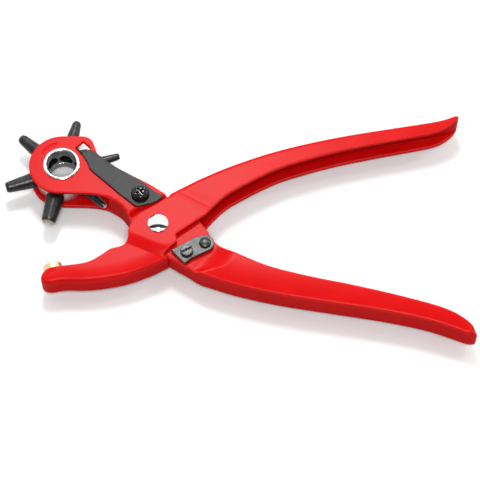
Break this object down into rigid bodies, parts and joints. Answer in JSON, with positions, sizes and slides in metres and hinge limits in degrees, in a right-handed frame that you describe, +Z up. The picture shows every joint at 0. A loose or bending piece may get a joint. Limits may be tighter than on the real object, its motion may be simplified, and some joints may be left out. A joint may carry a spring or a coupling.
{
  "type": "rotary hole punch",
  "caption": "Hand-held revolving punch for leather and belts: two sheet-steel levers on a rivet, a turret of hollow punch tubes, a brass anvil, an index spring and a closing latch.",
  "frame": {"origin": "on the pivot axis, at the flat underside of the pivot rivet, which is the plane that the tool rests on", "axes": "+X from the pivot towards the handles, +Y across the tool from the lower (punch lever) handle to the upper (anvil lever) handle, +Z up along the pivot axis, towards the side with the index spring and the latch"},
  "size_m": [0.2161, 0.1148, 0.0205],
  "materials": {
    "red_paint": "satin red powder coat on pressed sheet steel",
    "black_steel": "black oxide, semi-gloss",
    "spring_steel": "dark grey blued spring steel, satin",
    "nickel": "bright nickel plate",
    "zinc": "satin zinc plate",
    "brass": "satin brass"
  },
  "bodies": {
    "punch_lever": {"punch_lever": "red_paint", "pivot_rivet": "nickel", "pivot_sleeve": "black_steel", "pivot_washer_upper": "black_steel", "pivot_washer_lower": "black_steel", "opening_spring": "spring_steel", "turret_bush_upper": "nickel", "turret_bush_lower": "nickel", "index_spring_screw": "black_steel", "index_spring_nut": "black_steel", "latch_rivet": "spring_steel", "latch_washer": "spring_steel"},
    "anvil_lever": {"anvil_lever": "red_paint", "anvil": "brass", "anvil_seat": "black_steel"},
    "turret": {"turret_drum": "zinc", "punch_tube_2_0_mm": "black_steel", "punch_tube_2_5_mm": "black_steel", "punch_tube_3_0_mm": "black_steel", "punch_tube_3_5_mm": "black_steel", "punch_tube_4_0_mm": "black_steel", "punch_tube_5_0_mm": "black_steel"},
    "index_spring": {"index_spring": "spring_steel"},
    "latch": {"latch_plate": "spring_steel", "latch_stud": "spring_steel"}
  },
  "joints": [
    {"name": "lever_pivot", "type": "hinge", "parent": "punch_lever", "child": "anvil_lever", "pos_m": [0, 0, 0.0092], "axis": [0, 0, -1], "range_deg": [0, 25.3], "stiffness_Nm_per_rad": 0.3, "springref_deg": -34.38, "deforming": ["opening_spring"]},
    {"name": "turret_turn", "type": "hinge", "parent": "punch_lever", "child": "turret", "pos_m": [-0.04563, 0.03156, 0.0092], "axis": [0, 0, 1], "continuous": true},
    {"name": "index_spring_lift", "type": "hinge", "parent": "punch_lever", "child": "index_spring", "pos_m": [-0.0125, 0.0182, 0.01675], "axis": [0.6369, 0.7709, 0], "range_deg": [0, 4], "stiffness_Nm_per_rad": 0.02, "springref_deg": -11.46, "deforming": ["index_spring"]},
    {"name": "latch_swing", "type": "hinge", "parent": "punch_lever", "child": "latch", "pos_m": [0.0216, -0.0098, 0.0156], "axis": [0, 0, 1], "range_deg": [-4, 4]}
  ]
}
